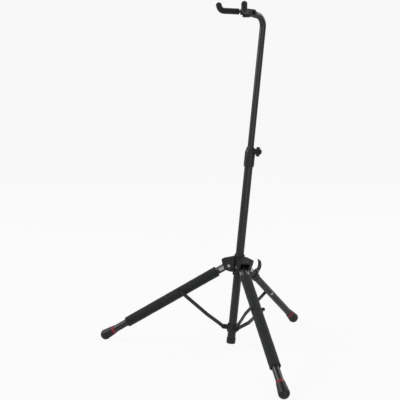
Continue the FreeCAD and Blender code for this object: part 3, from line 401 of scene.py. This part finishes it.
def closed_sleeve(name, path, outer, inner, rim, sides, wander, cell):
    """A soft tube that is open at its start and ends in a full round nose with a shallow moulding dimple."""
    verts, faces = [], []
    pairs = frames_along(path)
    last = len(path) - 1
    start_dir = (path[1] - path[0]).normalized()
    end_dir = (path[last] - path[last - 1]).normalized()
    outline = [(path[0], pairs[0], inner, False)]
    turns = 6
    for k in range(turns + 1):
        angle = math.pi / 2 * (turns - k) / turns
        outline.append((path[0] + start_dir * rim * (1 - math.sin(angle)), pairs[0],
                        outer - rim * (1 - math.cos(angle)), False))
    outline += [(path[i], pairs[i], outer, True) for i in range(1, last + 1)]
    nose = 12
    for k in range(1, nose):
        angle = math.pi / 2 * k / nose
        outline.append((path[last] + end_dir * outer * math.sin(angle), pairs[last],
                        outer * math.cos(angle), False))
    outline.append((path[last] + end_dir * (outer * 0.93), pairs[last], outer * 0.06, False))
    for place, (u, v), radius, live in outline:
        for s in range(sides):
            turn = 2 * math.pi * s / sides
            out = u * math.cos(turn) + v * math.sin(turn)
            point = place + out * radius
            if live:
                point = place + out * (radius + wander * (noise.noise(point / cell) - 0.6))
            verts.append(point)
    count = len(outline)
    for r in range(count - 1):
        for s in range(sides):
            t = (s + 1) % sides
            faces.append((r * sides + s, r * sides + t, (r + 1) * sides + t, (r + 1) * sides + s))
    faces.append(tuple((count - 1) * sides + s for s in range(sides)))
    faces.append(tuple(s for s in reversed(range(sides))))
    return smooth_mesh(name, verts, faces)


def dome(verts, faces, base, axis, radius, height, sides=28):
    """Add a low domed head with a crisp skirt and a small drive dimple to a list of vertices and faces."""
    u = axis.orthogonal().normalized()
    v = axis.cross(u)
    first = len(verts)
    rows = [(radius, 0.0), (radius, height * 0.35), (radius * 0.97, height * 0.5)]
    rows += [(radius * math.cos(a), height * (0.5 + 0.5 * math.sin(a))) for a in (0.35, 0.6, 0.85, 1.1)]
    rows += [(radius * 0.24, height * 0.98), (radius * 0.18, height * 0.86), (radius * 0.05, height * 0.82)]
    for r, h in rows:
        for s in range(sides):
            turn = 2 * math.pi * s / sides
            verts.append(base + axis * h + (u * math.cos(turn) + v * math.sin(turn)) * r)
    for row in range(len(rows) - 1):
        for s in range(sides):
            t = (s + 1) % sides
            a = first + row * sides
            faces.append((a + s, a + t, a + sides + t, a + sides + s))
    faces.append(tuple(first + s for s in reversed(range(sides))))
    faces.append(tuple(first + (len(rows) - 1) * sides + s for s in range(sides)))


def domes(name, places, finish, body):
    """Several domed heads on one body, each as (middle of its base, outward direction, radius, height)."""
    verts, faces = [], []
    for base, axis, radius, height in places:
        dome(verts, faces, base, axis.normalized(), radius, height)
    made = smooth_mesh(name, verts, faces)
    made.data.materials.append(finish)
    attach(made, body)
    return made


# ---------------------------------------------------------------- operators

class STAND_OT_tubes(Operator):
    """Paint the mast, the neck and the legs"""
    bl_idname = "stand.tubes"
    bl_label = "Paint Tubes"

    def execute(self, context):
        colours = context.scene.stand_colours
        paint = powder_paint(tuple(colours.paint))
        dress(["lower_tube", "upper_tube", "yoke_rods"], paint)
        dress(["leg_tube_" + side for side in SIDES], paint)
        dress(["brace_" + side for side in SIDES], paint)
        return {"FINISHED"}


class STAND_OT_mouldings(Operator):
    """Give the hub, clutch, collar, knob and plugs their moulded finish"""
    bl_idname = "stand.mouldings"
    bl_label = "Finish Mouldings"

    def execute(self, context):
        nylon = moulded_nylon(tuple(context.scene.stand_colours.nylon))
        dress(["hub", "hub_bush", "brace_collar", "clutch_housing", "clutch_bush", "height_knob",
               "lower_end_cap", "neck_plug", "upper_glide", "yoke_block", "latch_saddle", "latch_lever"], nylon)
        dress(["leg_plug_" + side for side in SIDES], nylon)
        dress(["brace_spacer_" + side for side in SIDES], nylon)
        return {"FINISHED"}


class STAND_OT_fixings(Operator):
    """Plate the pins, rivets and straps, some bright and some black"""
    bl_idname = "stand.fixings"
    bl_label = "Plate Fixings"

    def execute(self, context):
        zinc = plated_metal("zinc_plate", (0.50, 0.50, 0.49), (0.68, 0.68, 0.66), 0.24, 0.42)
        brass = plated_metal("turned_brass", (0.52, 0.38, 0.17), (0.68, 0.52, 0.26), 0.25, 0.4)
        black = plated_metal("black_plate", (0.030, 0.031, 0.032), (0.055, 0.056, 0.058), 0.34, 0.5)
        dress(["leg_hinge_pins", "knob_stud", "latch_pin", "brace_rivet_rear"], zinc)
        dress(["lower_brace_rivets", "yoke_bolt", "yoke_nut", "yoke_washers", "clutch_screw",
               "collar_screw"], black)
        dress(["brace_rivet_" + side for side in FRONT_SIDES], black)
        for side in SIDES:
            dress(["leg_straps_" + side, "strap_rivet_" + side], zinc)
        dress(["clutch_insert", "clamp_shoe"], brass)
        return {"FINISHED"}


class STAND_OT_feet(Operator):
    """Finish the rubber feet and the coloured rings above them"""
    bl_idname = "stand.feet"
    bl_label = "Finish Feet"

    def execute(self, context):
        colours = context.scene.stand_colours
        dress(["foot_" + side for side in SIDES], boot_rubber(tuple(colours.rubber)))
        dress(["foot_ring_" + side for side in SIDES], ring_plastic(tuple(colours.ring)))
        return {"FINISHED"}


class STAND_OT_foam_sleeves(Operator):
    """Make the foam sleeves on the two front legs"""
    bl_idname = "stand.foam_sleeves"
    bl_label = "Make Foam Sleeves"

    def execute(self, context):
        sizes = context.scene.stand_sizes
        finish = foam_skin("foam_skin", tuple(context.scene.stand_colours.foam), 900)
        hub = Vector(joint("hub_turn")["pos_m"])
        for side in FRONT_SIDES:
            node = "foam_sleeve_" + side
            start, end = tube_axis(node, hub)
            rivet = Vector(joint("leg_%s_turn" % side)["pos_m"])
            pin = Vector(joint("leg_%s_turn" % side)["axis"]).normalized()
            steps = 110
            path = [start.lerp(end, i / steps) for i in range(steps + 1)]
            dent_width, dent_depth = 0.007, 0.0012
            dents = [(rivet - pin * sizes.foam_radius, dent_width, dent_depth),
                     (rivet + pin * sizes.foam_radius, dent_width, dent_depth)]
            made = sleeve("soft_sleeve_" + side, path, sizes.foam_radius, sizes.foam_bore, rim=0.0022,
                          sides=sizes.smoothness, wander=sizes.foam_softness, cell=0.014, dents=dents)
            made.data.materials.append(finish)
            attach(made, "leg_" + side)
            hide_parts(node)
        return {"FINISHED"}


class STAND_OT_arm_pads(Operator):
    """Make the padded sleeves on the yoke's two arms"""
    bl_idname = "stand.arm_pads"
    bl_label = "Make Arm Pads"

    def execute(self, context):
        sizes = context.scene.stand_sizes
        finish = foam_skin("pad_skin", tuple(context.scene.stand_colours.foam), 1300)
        bolt = Vector(joint("yoke_tilt")["pos_m"])
        across = Vector((1, 0, 0))
        up = Matrix.Rotation(sizes.yoke_droop, 3, "X") @ Vector(joint("height_slide")["axis"]).normalized()
        ahead = up.cross(across) * -1
        root = bolt + ahead * ROOT_AHEAD + up * ROOT_RISE
        for side, sign in (("right", 1), ("left", -1)):
            spread_angle = sizes.arm_spread * sign
            out = ahead * math.cos(spread_angle) + across * math.sin(spread_angle)
            path = self.arm_path(root, out, up, sizes)
            made = closed_sleeve("soft_pad_" + side, path, sizes.pad_radius, sizes.pad_bore, rim=0.0016,
                                 sides=sizes.smoothness, wander=0.0002, cell=0.008)
            made.data.materials.append(finish)
            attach(made, "yoke")
            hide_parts("yoke_pad_" + side)
        return {"FINISHED"}

    def arm_path(self, root, out, up, sizes):
        """Centre line of a pad: straight out, round the upturn and on to the tip."""
        sweep = math.pi / 2 - sizes.arm_lean
        path = []
        steps, turns, tip_steps = 26, 18, 9
        for i in range(steps):
            path.append(root + out * (PAD_START + (sizes.arm_length - PAD_START) * i / steps))
        corner = root + out * sizes.arm_length
        for i in range(turns + 1):
            angle = sweep * i / turns
            path.append(corner + out * TIP_BEND * math.sin(angle) + up * TIP_BEND * (1 - math.cos(angle)))
        top = path[-1]
        rise = out * math.sin(sizes.arm_lean) + up * math.cos(sizes.arm_lean)
        for i in range(1, tip_steps + 1):
            path.append(top + rise * TIP_RISE * i / tip_steps)
        return path


class STAND_OT_rivet_domes(Operator):
    """Raise the domed heads on the brace rivets"""
    bl_idname = "stand.rivet_domes"
    bl_label = "Make Rivet Domes"

    def execute(self, context):
        plating = {"rear": "zinc_plate", "left": "black_plate", "right": "black_plate"}
        for side in SIDES:
            turn = joint("leg_%s_turn" % side)
            middle = Vector(turn["pos_m"])
            pin = Vector(turn["axis"]).normalized()
            reach = [(v.co - middle).dot(pin) for v in frame["nodes"]["brace_rivet_" + side].data.vertices]
            head_radius, head_height = 0.0040, 0.0012
            places = [(middle + pin * max(reach), pin, head_radius, head_height),
                      (middle + pin * min(reach), -pin, head_radius, head_height)]
            finish = bpy.data.materials[plating[side]]
            domes("rivet_domes_" + side, places, finish, "leg_" + side)
        return {"FINISHED"}


class STAND_OT_studio(Operator):
    """Set up the floor, backdrop, lamps and camera"""
    bl_idname = "stand.studio"
    bl_label = "Set Up Studio"

    def execute(self, context):
        self.paper(context)
        self.world(context)
        middle = (0, 0, 0.5)
        self.lamp("key", (-2.2, -2.4, 2.6), middle, size=2.2, power=62)
        self.lamp("fill", (2.6, -1.6, 1.6), middle, size=2.4, power=20)
        self.lamp("back", (0.8, 2.6, 2.2), middle, size=2.0, power=26)
        self.camera(context)
        context.scene.view_settings.view_transform = "Standard"
        return {"FINISHED"}

    def paper(self, context):
        """A wide floor that curves up far behind the stand."""
        verts, faces = [], []
        half_width, front, back, curve, top = 9.0, -9.0, 5.0, 2.0, 8.0
        drop = 0.0004
        outline = [(front, 0.0), (back, 0.0)]
        outline += [(back + curve * math.sin(a), curve - curve * math.cos(a))
                    for a in (0.3, 0.6, 0.9, 1.2, math.pi / 2)]
        outline.append((back + curve, top))
        turn = Matrix.Rotation(math.radians(41.5), 3, "Z")
        for along, height in outline:
            for side in (-half_width, half_width):
                verts.append(turn @ Vector((side, along, height - drop)))
        for row in range(len(outline) - 1):
            faces.append((2 * row, 2 * row + 1, 2 * row + 3, 2 * row + 2))
        made = smooth_mesh("paper_roll", verts, faces)
        made.data.materials.append(studio_paper())

    def world(self, context):
        """Even white air, full only where the camera sees it."""
        world = bpy.data.worlds.new("studio_air")
        context.scene.world = world
        world.use_nodes = True
        tree = world.node_tree
        air = tree.nodes["Background"]
        air.inputs["Color"].default_value = (1, 1, 1, 1)
        seen = tree.nodes.new("ShaderNodeLightPath")
        level = tree.nodes.new("ShaderNodeMapRange")
        level.inputs["To Min"].default_value = 0.35
        level.inputs["To Max"].default_value = 1.0
        tree.links.new(seen.outputs["Is Camera Ray"], level.inputs["Value"])
        tree.links.new(level.outputs["Result"], air.inputs["Strength"])

    def lamp(self, name, place, target, size, power):
        data = bpy.data.lights.new(name, "AREA")
        data.size = size
        data.energy = power
        made = bpy.data.objects.new(name, data)
        made.location = place
        made.rotation_euler = (Vector(target) - Vector(place)).to_track_quat("-Z", "Y").to_euler()
        bpy.context.scene.collection.objects.link(made)

    def camera(self, context):
        data = bpy.data.cameras.new("studio_camera")
        data.sensor_width = 36
        data.lens = 73.99
        made = bpy.data.objects.new("studio_camera", data)
        made.location = (1.5177, -1.8889 + MAST_Y, 0.8812)
        made.rotation_euler = (math.radians(90 - 10.024), 0, math.radians(41.546))
        context.scene.collection.objects.link(made)
        context.scene.camera = made


def mast_centre_y():
    """Where the mast's axis crosses the level of the leg hinges."""
    slide = Vector(joint("height_slide")["axis"])
    hinge = Vector(joint("hub_turn")["pos_m"])
    rearward = Vector((0, slide.z, -slide.y))
    return (hinge - rearward * HINGE_OFFSET).y


MAST_Y = mast_centre_y()


class STAND_PT_panel(Panel):
    """Sizes, colours and pieces of the guitar stand"""
    bl_idname = "STAND_PT_panel"
    bl_label = "Guitar Stand"
    bl_space_type = "VIEW_3D"
    bl_region_type = "UI"
    bl_category = "Guitar Stand"

    def draw(self, context):
        layout = self.layout
        for group in (context.scene.stand_sizes, context.scene.stand_colours):
            for name in group.__annotations__:
                layout.prop(group, name)
        for operator in OPERATORS:
            layout.operator(operator.bl_idname)


OPERATORS = (STAND_OT_tubes, STAND_OT_mouldings, STAND_OT_fixings, STAND_OT_feet, STAND_OT_foam_sleeves,
             STAND_OT_arm_pads, STAND_OT_rivet_domes, STAND_OT_studio)
CLASSES = (StandSizes, StandColours) + OPERATORS + (STAND_PT_panel,)


def register():
    for item in CLASSES:
        bpy.utils.register_class(item)
    bpy.types.Scene.stand_sizes = PointerProperty(type=StandSizes)
    bpy.types.Scene.stand_colours = PointerProperty(type=StandColours)


def unregister():
    del bpy.types.Scene.stand_colours
    del bpy.types.Scene.stand_sizes
    for item in reversed(CLASSES):
        bpy.utils.unregister_class(item)


def main():
    register()
    bpy.ops.stand.tubes()
    bpy.ops.stand.mouldings()
    bpy.ops.stand.fixings()
    bpy.ops.stand.feet()
    bpy.ops.stand.foam_sleeves()
    bpy.ops.stand.arm_pads()
    bpy.ops.stand.rivet_domes()
    bpy.ops.stand.studio()


if __name__ == "__main__":
    main()
